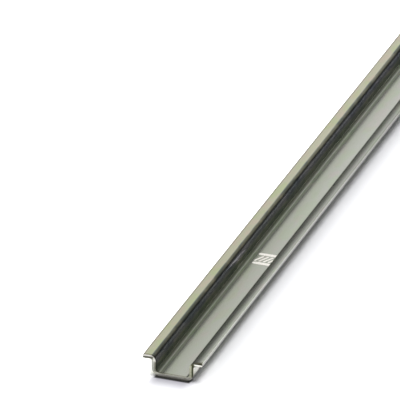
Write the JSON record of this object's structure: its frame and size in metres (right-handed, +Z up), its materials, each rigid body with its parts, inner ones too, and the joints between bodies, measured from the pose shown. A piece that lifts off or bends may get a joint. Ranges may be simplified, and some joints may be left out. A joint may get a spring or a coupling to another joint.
{
  "type": "din rail",
  "caption": "Plain top-hat mounting rail, roll-formed from zinc-plated steel strip: a shallow channel with outward flanges that the feet of terminals and devices clip onto.",
  "frame": {"origin": "middle of the underside of the base, half-way along the rail", "axes": "+Y along the rail, +X across it towards one flange, +Z up out of the open channel"},
  "size_m": [0.015, 0.5, 0.0055],
  "materials": {
    "zinc_plated_steel": "satin zinc plating, pale grey-green passivation, bare steel at the sawn ends"
  },
  "bodies": {
    "root": {"rail": "zinc_plated_steel"}
  },
  "joints": []
}
